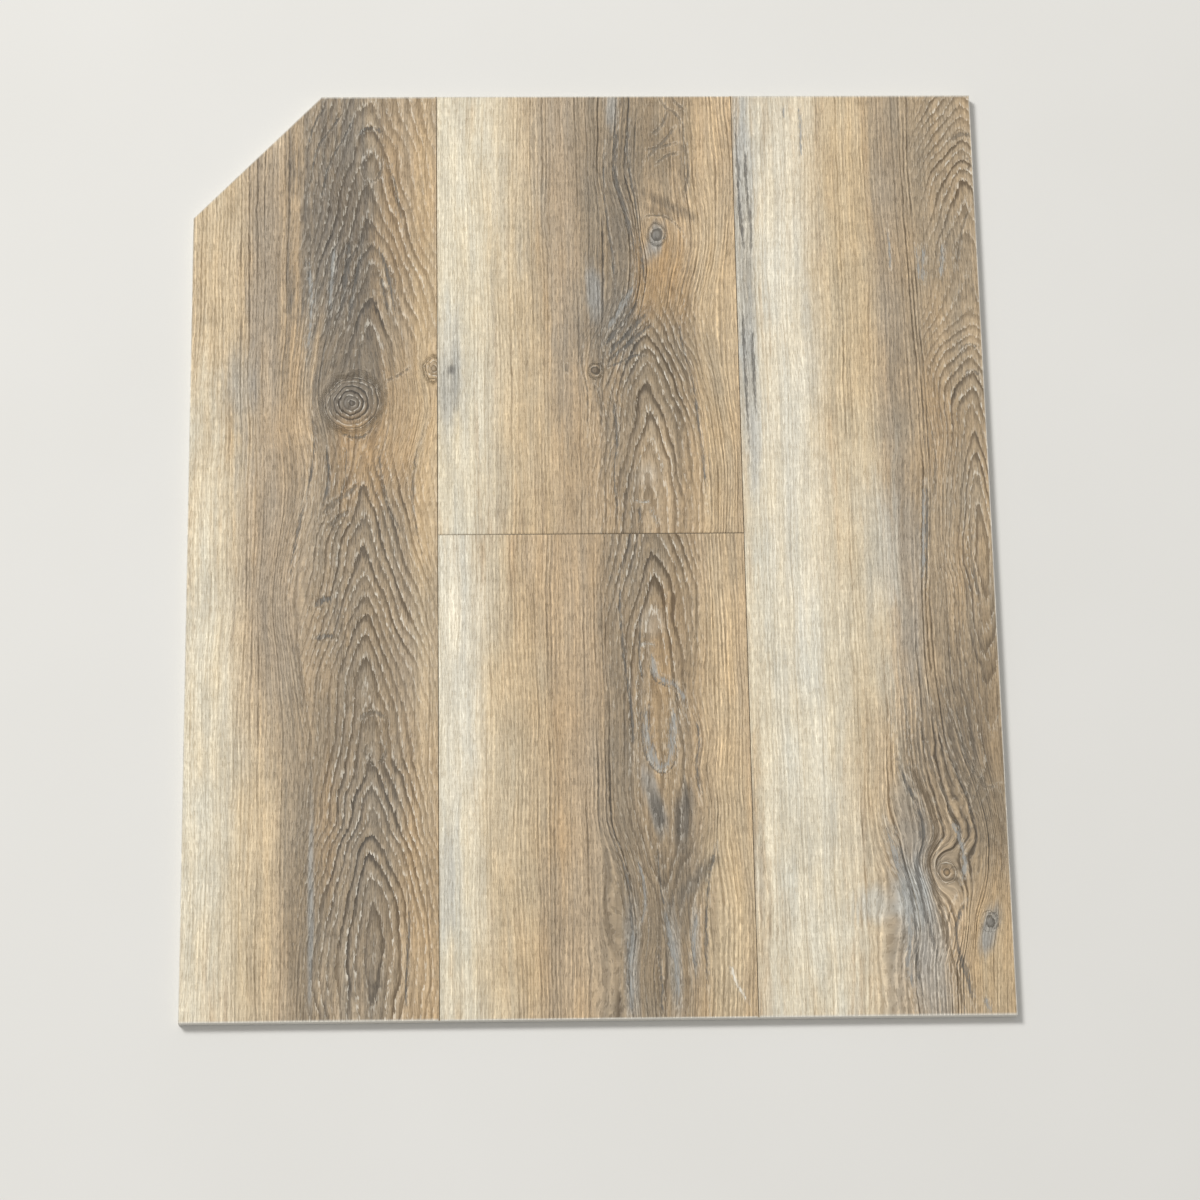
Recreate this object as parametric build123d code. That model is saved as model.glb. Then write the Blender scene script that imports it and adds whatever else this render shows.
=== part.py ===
"""Sample panel of click-lock vinyl floor planks: two long planks with a jointed row between them.

Frame: X runs across the planks, Y along them, Z up out of the wear face.
The origin is at the middle of the panel's box, on its underside.
"""
from build123d import *
import os

# Driving dimensions of the panel, in millimetres
PANEL_LENGTH = 584.0  # along the planks, end to end
PLANK_WIDTH = 183.0  # full face of one plank, as the middle row shows it
LEFT_WIDTH = 149.0  # face left on the left plank, which is ripped down
RIGHT_WIDTH = 149.0  # face left on the right plank, which is ripped down
THICKNESS = 6.0  # wear face to underside
END_JOINT_HEIGHT = 295.0  # length of the lower plank of the middle row
CLIP_ACROSS = 78.0  # sawn-off corner of the left plank, along its end
CLIP_ALONG = 82.0  # sawn-off corner of the left plank, along its side

# Fit of the joints
JOINT_CLEARANCE = 0.1  # all round the locking profile, and the gap at the face
ARRIS = 0.2  # eased edge of the wear face beside a joint

# Lock along the long sides: a tongue swung into a pocket, over a hooked lip
LIP_FLOOR = 1.6  # thickness of the lip under the tongue
POCKET_HEIGHT = 2.2  # height of the tongue and its pocket
POCKET_DEPTH = 2.8  # how far the tongue goes in past the face joint
HOOK_START = 2.4  # flat of the lip beyond the face joint
HOOK_SLOPE = 0.7  # run of the locking ramp
HOOK_CREST = 1.2  # flat top of the hook
HOOK_RISE = 0.9  # height of the hook over the lip
HOOK_NOSE = 0.9  # run of the lip's sloped nose
LIP_ROUNDING = 0.3  # rounding of the lock's corners

# Lock across the ends: a hooked end dropped into the channel of a ledge
LEDGE_FLOOR = 1.4  # thickness of the ledge under the channel
CHANNEL_WIDTH = 3.6  # channel between the face joint and the hook
LEDGE_SLOPE = 0.4  # run of the hook's inner side
LEDGE_CREST = 2.0  # flat top of the hook
LEDGE_RISE = 2.0  # height of the hook over the channel
LEDGE_NOSE = 0.6  # run of the hook's outer side

# Places worked out from the dimensions
PANEL_WIDTH = LEFT_WIDTH + PLANK_WIDTH + RIGHT_WIDTH
LEFT_SIDE = -PANEL_WIDTH / 2
LEFT_SEAM = LEFT_SIDE + LEFT_WIDTH
RIGHT_SEAM = LEFT_SEAM + PLANK_WIDTH
RIGHT_SIDE = RIGHT_SEAM + RIGHT_WIDTH
LOWER_END = -PANEL_LENGTH / 2
UPPER_END = LOWER_END + PANEL_LENGTH
END_JOINT = LOWER_END + END_JOINT_HEIGHT
LIP_REACH = HOOK_START + HOOK_SLOPE + HOOK_CREST + HOOK_NOSE
LEDGE_REACH = CHANNEL_WIDTH + LEDGE_SLOPE + LEDGE_CREST + LEDGE_NOSE


def lip_half(start, seam):
    """Section of a plank from start to a long seam, with the pocket and the hooked lip of that side."""
    floor = LIP_FLOOR
    crest = floor + HOOK_RISE
    ramp_top = seam + HOOK_START + HOOK_SLOPE
    outline = Polyline(
        (start, 0),
        (start, THICKNESS),
        (seam - ARRIS, THICKNESS),
        (seam, THICKNESS - ARRIS),
        (seam, floor + POCKET_HEIGHT),
        (seam - POCKET_DEPTH, floor + POCKET_HEIGHT),
        (seam - POCKET_DEPTH, floor),
        (seam + HOOK_START, floor),
        (ramp_top, crest),
        (ramp_top + HOOK_CREST, crest),
        (seam + LIP_REACH, floor),
        (seam + LIP_REACH, 0),
        close=True,
    )
    half = make_face(outline)
    rounded = half.vertices().filter_by_position(Axis.Y, floor, floor + POCKET_HEIGHT)
    rounded = [v for v in rounded if abs(v.X - seam) > ARRIS]
    return fillet(rounded, LIP_ROUNDING)


def ledge_half(start, seam):
    """Section of a plank from its lower end at start to the end joint, with the ledge and its hook."""
    floor = LEDGE_FLOOR
    crest = floor + LEDGE_RISE
    slope_top = seam + CHANNEL_WIDTH + LEDGE_SLOPE
    outline = Polyline(
        (start, 0),
        (start, THICKNESS),
        (seam - ARRIS, THICKNESS),
        (seam, THICKNESS - ARRIS),
        (seam, floor),
        (seam + CHANNEL_WIDTH, floor),
        (slope_top, crest),
        (slope_top + LEDGE_CREST, crest),
        (seam + LEDGE_REACH, floor),
        (seam + LEDGE_REACH, 0),
        close=True,
    )
    half = make_face(outline)
    rounded = half.vertices().filter_by_position(Axis.Y, floor, crest)
    return fillet(rounded, LIP_ROUNDING)


def strip(low, high):
    """Plain rectangular section from low to high, underside to wear face."""
    return Pos((low + high) / 2, THICKNESS / 2) * Rectangle(high - low, THICKNESS)


def eased(seam):
    """Triangle that eases the wear face's edge on the far side of a joint."""
    edge = seam + JOINT_CLEARANCE
    return make_face(
        Polyline((edge, THICKNESS), (edge + ARRIS, THICKNESS), (edge, THICKNESS - ARRIS), close=True)
    )


def tongue(seam):
    """Bar that becomes the tongue of the plank beyond a long seam, before it is fitted to the pocket."""
    height = LIP_FLOOR + POCKET_HEIGHT
    return Pos(seam, height / 2) * Rectangle(2 * POCKET_DEPTH, height)


def fitted_to(half, blank, seam):
    """Section that fits into the given half of a joint, with the joint's clearance all round."""
    return blank - offset(half, JOINT_CLEARANCE, kind=Kind.INTERSECTION) - eased(seam)


def along_planks(section):
    """Solid of a section drawn across the planks, run the length of the panel."""
    return extrude(Plane.XZ * section, PANEL_LENGTH / 2, both=True)


def across_planks(section):
    """Solid of a section drawn along the planks, run the width of the panel."""
    return extrude(Plane.YZ * section, PANEL_WIDTH / 2, both=True)


def sawn_corner():
    """Prism that takes the left plank's upper outer corner off."""
    corner = make_face(
        Polyline(
            (LEFT_SIDE, UPPER_END),
            (LEFT_SIDE + CLIP_ACROSS, UPPER_END),
            (LEFT_SIDE, UPPER_END - CLIP_ALONG),
            close=True,
        )
    )
    return extrude(corner, THICKNESS)


def build_planks():
    """The four planks, by the names of their nodes."""
    left_section = lip_half(LEFT_SIDE, LEFT_SEAM)
    middle_half = lip_half(LEFT_SEAM + JOINT_CLEARANCE, RIGHT_SEAM)
    middle_section = fitted_to(left_section, middle_half + tongue(LEFT_SEAM), LEFT_SEAM)
    right_strip = strip(RIGHT_SEAM + JOINT_CLEARANCE, RIGHT_SIDE)
    right_section = fitted_to(middle_half, right_strip + tongue(RIGHT_SEAM), RIGHT_SEAM)

    lower_end_section = ledge_half(LOWER_END, END_JOINT)
    upper_strip = strip(END_JOINT + JOINT_CLEARANCE, UPPER_END)
    upper_end_section = fitted_to(lower_end_section, upper_strip, END_JOINT)

    middle_row = along_planks(middle_section)
    return {
        "left_plank": along_planks(left_section) - sawn_corner(),
        "lower_middle_plank": middle_row & across_planks(lower_end_section),
        "upper_middle_plank": middle_row & across_planks(upper_end_section),
        "right_plank": along_planks(right_section),
    }


def main():
    os.makedirs("parts", exist_ok=True)
    for node, plank in build_planks().items():
        solid = plank.solid()
        solid.label = node
        export_step(solid, f"parts/{node}.step")


main()
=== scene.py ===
"""Dresses a sample panel of click-lock vinyl planks: printed oak faces, pale cores and a plain studio."""
import logging
import math
from dataclasses import dataclass
from enum import Enum
from functools import partial
from typing import Any

import bmesh
import bpy
import numpy as np
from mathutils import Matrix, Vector


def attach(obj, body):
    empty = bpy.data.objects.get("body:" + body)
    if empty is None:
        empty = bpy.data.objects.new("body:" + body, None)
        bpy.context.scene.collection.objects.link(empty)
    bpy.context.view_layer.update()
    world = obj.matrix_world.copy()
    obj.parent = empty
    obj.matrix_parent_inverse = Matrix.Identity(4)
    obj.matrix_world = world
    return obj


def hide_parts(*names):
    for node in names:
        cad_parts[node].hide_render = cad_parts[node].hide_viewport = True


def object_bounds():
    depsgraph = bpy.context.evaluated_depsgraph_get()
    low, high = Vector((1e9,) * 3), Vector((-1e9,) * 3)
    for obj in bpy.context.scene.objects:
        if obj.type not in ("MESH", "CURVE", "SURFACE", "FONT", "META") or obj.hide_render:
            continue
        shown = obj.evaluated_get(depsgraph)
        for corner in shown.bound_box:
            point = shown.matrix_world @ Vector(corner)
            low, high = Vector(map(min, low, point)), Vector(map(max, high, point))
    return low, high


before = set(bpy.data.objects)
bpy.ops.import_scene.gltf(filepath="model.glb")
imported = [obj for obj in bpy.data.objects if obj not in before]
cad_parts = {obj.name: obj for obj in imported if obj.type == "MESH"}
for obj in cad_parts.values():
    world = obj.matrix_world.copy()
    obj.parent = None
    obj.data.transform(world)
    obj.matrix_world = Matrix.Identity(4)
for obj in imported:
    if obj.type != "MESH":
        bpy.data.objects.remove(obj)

log = logging.getLogger("vinyl_panel")

Array = np.ndarray
Point = tuple[float, float]
Place = tuple[float, float, float]

MM = 0.001  # metres in a millimetre
CAD_LOW, CAD_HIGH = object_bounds()


class Ink(Enum):
    """The inks of the oak print, as sRGB hex values; the chalk white is also the colour of the painted
    highlights.
    """

    CHALK = "#EFE8D8"
    CREAM = "#E3D8BE"
    PALE_TAN = "#D2BC97"
    TAN = "#C4AC8A"
    WARM_TAN = "#C4A67C"
    HONEY = "#B4956B"
    GREY_TAN = "#AD9B82"
    BROWN_GREY = "#938269"
    SMOKE = "#7B7060"
    UMBER = "#6F5F49"
    MIST = "#C4C1B6"
    BLUE_GREY = "#A09F99"
    SLATE = "#66625B"


CHALK, CREAM, PALE_TAN, TAN, WARM_TAN, HONEY, GREY_TAN = list(Ink)[:7]
BROWN_GREY, SMOKE, UMBER, MIST, BLUE_GREY, SLATE = list(Ink)[7:]


def linear(hex_colour: str) -> tuple[float, float, float, float]:
    """Turns an sRGB hex colour into linear red, green, blue and alpha.

    Args:
        hex_colour: Colour as #RRGGBB.

    Returns:
        The linear colour with an alpha of 1.
    """
    levels = [int(hex_colour[i:i + 2], 16) / 255 for i in (1, 3, 5)]
    red, green, blue = (v / 12.92 if v <= 0.04045 else ((v + 0.055) / 1.055) ** 2.4 for v in levels)
    return red, green, blue, 1.0


def ink(colour: Ink) -> Array:
    """Linear red, green and blue of an ink, as an array."""
    return np.array(linear(colour.value)[:3])


@dataclass(frozen=True)
class Heart:
    """A station on the heart line of a board, about which the growth rings lie."""

    y: float  # place along the panel from its lower end, mm
    x: float  # place across the panel from its left side, mm
    crown: float  # how many rings lie over the heart; where it rises along the panel, they show as arches
    figure: float  # how strongly the rings are printed, 0 to 1
    closeness: float = 1.0  # how close the rings lie beside the heart, as a share of the print's own spacing


@dataclass(frozen=True)
class Stain:
    """A soft-edged patch or long band of one ink, with an edge broken into streaks."""

    colour: Ink
    x: float  # middle across the panel, mm
    y: float  # middle along the panel, mm
    half_x: float  # half its width, mm
    half_y: float  # half its length, mm
    strength: float = 1.0  # how much of the ground it covers, 0 to 1
    lean: float = 0.0  # how far it leans to the right for each mm up


@dataclass(frozen=True)
class Knot:
    """A knot: rings round a centre, which the grain flows past."""

    x: float  # centre across the panel, mm
    y: float  # centre along the panel, mm
    across: float  # half its width, mm
    along: float  # half its length, mm
    rings: float  # how many rings it shows
    colour: Ink  # ink of its heart
    strength: float  # how dark its heart is, 0 to 1


@dataclass(frozen=True)
class Stroke:
    """One drawn line of the print, such as a crack, a ridge or the edge of a ring."""

    colour: Ink
    points: tuple[Point, ...]  # points on the line, mm across and along the panel
    width: float  # mm


@dataclass(frozen=True)
class Bend:
    """A line that the fibres beside it follow, with deeper furrows there."""

    reach: float  # how far to either side the fibres follow it, mm
    furrow: float  # strength of the straight grain lines beside it, about 1 in common wood
    points: tuple[Point, ...]  # points on the line from the lower end up, mm across and along the panel


@dataclass(frozen=True)
class OakPrint:
    """The print on one plank."""

    ground: Ink  # ink of the plain wood
    ring_near: float  # ring spacing at 6.5 mm from the heart, mm
    figure_reach: float  # how far from the heart the strong rings show, mm
    seed: int  # number that sets its small chance variations
    hearts: tuple[Heart, ...]  # stations of the heart line, from the lower end up
    stains: tuple[Stain, ...]  # bands and patches, the later ones over the earlier ones
    knots: tuple[Knot, ...]
    strokes: tuple[Stroke, ...]  # single drawn lines
    bends: tuple[Bend, ...]  # lines that the fibres follow


def rows(kind: type, *values: tuple[Any, ...]) -> tuple[Any, ...]:
    """Makes an object of one kind from each row of values, which fill its fields in order."""
    return tuple(kind(*row) for row in values)


def strokes(colour: Ink, *lines: tuple[Any, ...]) -> tuple[Stroke, ...]:
    """Makes drawn lines of one ink from rows that hold a line's width and then its points."""
    return tuple(Stroke(colour, tuple(points), width) for width, *points in lines)


LEFT_PRINT = OakPrint(
    ground=TAN, ring_near=5.8, figure_reach=40, seed=11,
    hearts=rows(
        Heart,
        (-15, 110, 1.2, 0.7), (13, 110, 0.6, 0.9), (38, 110, 0.1, 0.9), (62, 110, 0.6, 1), (74, 110, 1, 1),
        (89, 110, 2, 1), (104, 110, 3, 1), (113, 111, 4, 1), (133, 111, 5, 1), (148, 110, 6, 1),
        (165, 110, 6.6, 0.7), (182, 109, 7.1, 0.7), (208, 108, 8, 0.7), (222, 108, 9, 1), (234, 108, 10, 1),
        (246, 108, 11, 1), (259, 107, 12, 1), (272, 107, 13, 1), (292, 106, 14, 1), (309, 106, 15, 1),
        (328, 106, 16, 0.9), (345, 106, 16.8, 0.4), (380, 107, 17.5, 0.3, 0.85),
        (420, 109, 18.3, 0.6, 0.75), (434, 109, 19, 1, 0.7), (452, 109, 20, 1, 0.7), (472, 109, 21, 1, 0.7),
        (484, 109, 22, 1, 0.7), (505, 109, 23, 1, 0.7), (525, 109, 24, 0.9, 0.7),
        (545, 110, 24.8, 0.7, 0.7), (561, 110, 25.6, 0.8, 0.7), (584, 111, 26.6, 0.9, 0.7),
        (600, 111, 27.4, 0.9, 0.7),
    ),
    stains=rows(
        Stain,
        (PALE_TAN, 16, 420, 26, 220, 0.75), (CREAM, 10, 130, 30, 180, 0.9), (CREAM, 4, 350, 16, 60, 0.5),
        (PALE_TAN, 42, 90, 14, 130, 0.7), (GREY_TAN, 44, 470, 12, 100), (BROWN_GREY, 45, 490, 6, 70, 0.35),
        (GREY_TAN, 50, 265, 18, 90, 0.9), (BLUE_GREY, 28, 392, 9, 28, 0.4),
        (WARM_TAN, 61, 460, 7, 120, 0.7), (BROWN_GREY, 100, 300, 32, 330, 0.75),
        (SMOKE, 106, 100, 24, 90, 0.35), (BROWN_GREY, 72, 80, 12, 110, 0.8), (SMOKE, 87, 490, 23, 90, 0.95),
        (UMBER, 94, 472, 12, 50, 0.55), (BLUE_GREY, 75, 62, 1.4, 62, 0.75), (SMOKE, 100, 392, 20, 30, 0.7),
        (HONEY, 108, 345, 18, 26, 0.8), (HONEY, 122, 500, 9, 60, 0.5), (WARM_TAN, 141, 440, 8, 150, 0.95),
        (WARM_TAN, 134, 372, 14, 40, 0.9), (GREY_TAN, 138, 210, 12, 70, 0.7),
        (WARM_TAN, 141, 60, 10, 110, 0.8), (PALE_TAN, 142, 330, 8, 260, 0.5), (TAN, 141, 80, 8, 90, 0.5),
        (SMOKE, 110, 38, 5, 24, 0.4), (HONEY, 84, 120, 6, 40, 0.5),
    ),
    knots=rows(
        Knot,
        (98, 379.5, 17, 17, 6, SLATE, 0.6), (147, 402, 6, 8, 3, BROWN_GREY, 0.7),
    ),
    strokes=(
        *strokes(
            SLATE,
            (3.2, (100, 555), (104, 561.5), (112, 562), (117, 556)),
            (2, (94.6, 578), (84, 562), (75, 546), (69, 506)),
            (2, (101, 576), (92, 556), (82, 535), (76, 500)), (2, (82, 580), (74, 566), (69, 548)),
            (4, (97, 496), (94, 466), (89, 432)), (3, (104, 488), (101, 468), (97, 446), (95, 424)),
            (3.2, (113, 484), (118, 468), (122, 450), (124, 430)), (3, (114, 466), (117, 452), (120, 436)),
            (2.6, (72, 395), (75, 354), (72, 327), (63.5, 286), (60, 252)),
            (2.2, (82, 356), (83.5, 331), (79.6, 308)), (4.6, (75, 249), (80, 254), (88, 256)),
            (4.6, (75, 228), (82, 232), (90, 231)), (2, (129, 95), (132, 62), (130, 20), (131, 0)),
        ),
        *strokes(
            SMOKE,
            (2.2, (109, 545), (115, 540), (114, 531), (109, 526), (104, 531), (103, 540), (108, 545)),
            (2, (116, 543), (122, 530), (126, 510), (129, 488)), (2.6, (116, 393), (126, 398), (135, 405)),
            (2.6, (90, 363), (96, 358), (104, 358), (112, 364)),
            (2.2, (94, 364), (94, 335), (90, 318), (80.5, 306)),
            (2, (114, 362), (115, 337), (121.5, 310), (133, 285)),
            (2, (146, 374), (137, 349), (134, 320), (137, 296), (142, 272)),
            (4.2, (76, 304), (87, 316), (96, 322), (104, 330)), (3.6, (80, 298), (90, 306), (99, 313)),
            (3.6, (102, 177), (106, 183), (114, 184), (119, 178)),
            (2.2, (112, 168), (118, 164), (117, 157), (112, 153), (107, 157), (107, 164), (112, 168)),
        ),
        *strokes(
            BLUE_GREY,
            (3.8, (70.7, 480), (72.6, 440), (69.6, 407)), (3.4, (87, 488), (83, 434)),
        ),
    ),
    bends=rows(
        Bend,
        (12, 1, ((71, 170), (64, 215), (60, 252), (63.5, 286), (72, 327), (75, 354), (72, 395), (71, 440))),
        (10, 1, ((74, 0), (75.5, 73), (75, 107), (76, 130), (76, 170))),
        (10, 0.9, ((142, 272), (137, 296), (134, 320), (137, 349), (142, 374))),
        (16, 1.2, ((84, 420), (86, 450), (89, 480), (88, 510), (84, 540))),
    ),
)

UPPER_MIDDLE_PRINT = OakPrint(
    ground=TAN, ring_near=5.8, figure_reach=34, seed=23,
    hearts=rows(
        Heart,
        (280, 275, 0.1, 0.5), (305, 275, 0.4, 0.7), (335, 276, 1.2, 0.8), (375, 277, 3, 1),
        (393, 277, 4, 1), (405, 277, 5, 1), (415, 277, 6, 0.9), (425, 277, 7, 0.8), (440, 279, 8.4, 0.5),
        (455, 280, 9.4, 0.15), (500, 282, 12, 0.1), (600, 284, 17, 0.2),
    ),
    stains=rows(
        Stain,
        (HONEY, 245, 440, 100, 200, 0.26), (CREAM, 166, 500, 34, 120), (CREAM, 160, 360, 26, 110),
        (PALE_TAN, 200, 420, 18, 150, 0.7), (GREY_TAN, 236, 530, 26, 110, 0.8),
        (BROWN_GREY, 250, 520, 14, 100, 0.75), (GREY_TAN, 226, 400, 9, 40, 0.5),
        (BROWN_GREY, 266, 430, 13, 180, 0.75), (SMOKE, 264, 520, 8, 90, 0.6),
        (BROWN_GREY, 286, 390, 20, 60, 0.8), (SMOKE, 262, 440, 16, 24, 0.6, 0.5),
        (HONEY, 287, 462, 16, 30, 0.9), (BROWN_GREY, 286, 556, 20, 36, 0.8), (TAN, 281, 330, 9, 36, 0.8),
        (CHALK, 275, 333, 7, 7, 0.22), (PALE_TAN, 318, 400, 12, 180, 0.5), (MIST, 155, 400, 9, 34, 0.6),
        (BLUE_GREY, 156, 392, 5, 18, 0.5), (SLATE, 157.5, 401, 1.8, 3, 0.8),
        (BLUE_GREY, 258, 578, 4, 16, 0.7), (BLUE_GREY, 245, 453, 4.5, 14, 0.7),
        (UMBER, 291, 510, 6, 9, 0.6, -1.5), (UMBER, 286, 505, 5, 5, 0.5, -1.5),
        (BLUE_GREY, 283, 486, 4.5, 11, 0.8, 0.2),
    ),
    knots=rows(
        Knot,
        (245, 400, 4, 4.5, 1.2, UMBER, 0.9), (284, 490, 5, 7, 1.2, SLATE, 0.6),
    ),
    strokes=(
        *strokes(
            SLATE,
            (2.6, (262, 586), (260, 555), (259, 530), (265, 505), (270, 480), (269, 455)),
            (1.8, (270, 575), (267, 545), (271, 512), (275, 470), (276, 450)),
            (1.8, (254, 560), (252, 520), (256, 480), (258, 450)),
            (1.6, (284, 494), (289, 490), (286, 484)),
            (4.2, (275, 451), (266, 437), (256, 424), (248, 414)),
            (3.8, (281, 444), (270, 430), (258, 417), (248, 405)),
            (3.6, (284, 434), (272, 424), (258, 411), (248, 402)),
            (2.2, (248, 401), (259, 405), (270, 410), (281, 408)),
            (2.4, (254, 396), (257, 360), (255, 330), (258, 300)),
            (2, (300, 450), (297, 425), (304, 390), (309, 340), (310, 300)), (2, (270, 314), (270, 300)),
        ),
        *strokes(
            SMOKE,
            (2.4, (276, 538), (284, 547), (292, 556), (299, 566)),
            (2.2, (277, 547), (287, 549), (300, 553)), (2.2, (283, 536), (291, 543), (301, 546)),
            (2.2, (280, 556), (288, 563), (293, 575)),
            (2.2, (286, 586), (291, 577), (298, 571), (303, 560)),
            (2.2, (294, 586), (299, 578), (306, 573)),
            (1.8, (273, 500), (281, 503), (291, 501), (299, 493), (303, 482)),
            (2.2, (302, 565), (304, 530), (300, 510)),
            (1.8, (238, 420), (237, 402), (240, 385), (239, 350)),
            (1.8, (243, 394), (248, 380), (247, 350)), (3, (227, 406), (228, 398)),
        ),
        *strokes(
            BLUE_GREY,
            (5.4, (271, 460), (264, 446), (257, 434), (250, 424)),
        ),
        *strokes(
            MIST,
            (2.2, (266, 317), (272, 315), (278, 316)), (2.8, (276, 313), (279, 305), (282, 298)),
        ),
    ),
    bends=rows(
        Bend,
        (10, 0.9, ((256, 300), (255, 330), (257, 360), (254, 396), (256, 418))),
        (16, 1.7, ((262, 425), (269, 455), (270, 480), (265, 505), (259, 530), (260, 555), (262, 586))),
        (16, 1.7, ((310, 300), (309, 340), (304, 390), (297, 425), (300, 450), (306, 480), (304, 530))),
        (12, 1.7, ((322, 300), (324, 350), (319, 400), (318, 450), (323, 500), (321, 586))),
    ),
)

LOWER_MIDDLE_PRINT = OakPrint(
    ground=TAN, ring_near=5.8, figure_reach=28, seed=37,
    hearts=rows(
        Heart,
        (-10, 278, 3, 0.2), (40, 278, 3, 0.3), (62, 278, 3, 0.5), (108, 278, 0.6, 0.6),
        (150, 277, 0.1, 0.6), (204, 276, 0.3, 0.7), (239, 276, 1.4, 0.9), (281, 276, 3.5, 1),
        (300, 276, 4.6, 1), (312, 276, 5.4, 1),
    ),
    stains=rows(
        Stain,
        (HONEY, 245, 150, 100, 220, 0.26), (CREAM, 160, 150, 25, 220), (CHALK, 164, 200, 14, 100, 0.25),
        (PALE_TAN, 192, 120, 18, 160, 0.7), (GREY_TAN, 243, 160, 16, 160, 0.5),
        (BROWN_GREY, 256, 200, 10, 130, 0.7), (BROWN_GREY, 272, 40, 26, 74, 0.85),
        (BROWN_GREY, 278, 240, 20, 80, 0.8), (WARM_TAN, 279, 170, 8, 50, 0.6),
        (HONEY, 284, 225, 8, 30, 0.4), (CHALK, 276, 239, 7, 7, 0.22), (SMOKE, 296, 96, 13, 36, 0.5, 0.2),
        (GREY_TAN, 216, 40, 8, 60, 0.4), (PALE_TAN, 318, 180, 12, 130, 0.5),
        (PALE_TAN, 317, 40, 14, 70, 0.7), (MIST, 154, 82, 6, 30, 0.6),
        (BLUE_GREY, 274, 132, 4, 17, 0.7, -0.25), (SLATE, 277, 121, 3, 10, 0.6, -0.15),
        (SLATE, 292, 121, 4.2, 15, 0.6, 0.15), (SMOKE, 297, 80, 5, 14, 0.7, 0.78),
        (BLUE_GREY, 260, 30, 4, 34, 0.5), (BLUE_GREY, 284, 30, 4, 34, 0.5),
        (BLUE_GREY, 297, 45, 3, 22, 0.5),
    ),
    knots=(),
    strokes=(
        *strokes(
            SLATE,
            (2.4, (259, 290), (257, 250), (259, 215), (263, 180), (262, 145)),
            (1.8, (270, 255), (268, 220), (270, 200)),
            (1.8, (272, 222), (274, 212), (277, 203), (289, 195), (294, 172)),
            (1.8, (268.5, 204), (268, 180), (270, 158), (279, 146), (288, 154), (290, 180)),
            (1.6, (273.5, 200), (273, 180), (275, 162), (279, 154)),
            (2.2, (299, 190), (302, 165), (300, 150), (303, 125)),
            (2.4, (248, 118), (258, 83), (260, 52), (257, 28), (259, -4)),
            (2.2, (276, 108), (277, 80), (280, 62)), (2.2, (275, 46), (277, 20), (276, -4)),
            (2.2, (313, 110), (306, 84), (303, 50), (304, -4)),
        ),
        *strokes(
            MIST,
            (2.4, (267, 224), (272, 226), (279, 224)),
            (2.4, (270, 165), (274, 152), (280, 147), (286, 152)),
        ),
        *strokes(
            BLUE_GREY,
            (5, (274, 224), (276, 214), (279, 205), (291, 197), (296, 172)),
            (6.6, (272, 203), (271, 180), (273, 160), (279, 150), (285, 157), (287, 180), (285, 196)),
            (2.6, (262, 100), (267, 84), (268, 66), (264, 50)), (4.6, (261, 60), (259, 30), (260, -4)),
            (4.6, (279, 70), (282, 50), (286, 28), (285, -4)), (3.4, (299, 66), (296, 45), (297, 24)),
        ),
        *strokes(
            CHALK,
            (2.2, (316, 34), (320, 20), (329, 5)),
        ),
    ),
    bends=rows(
        Bend,
        (13, 1.6, ((259, -4), (257, 28), (260, 52), (258, 83), (248, 118), (246, 150))),
        (12, 1.2, ((285, -4), (286, 28), (282, 50), (279, 70), (277, 108))),
        (12, 1.1, ((300, 100), (303, 125), (300, 150), (302, 165), (299, 190), (300, 230))),
        (14, 1.7, ((318, -4), (321, 60), (317, 120), (319, 200), (316, 290))),
    ),
)

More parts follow.
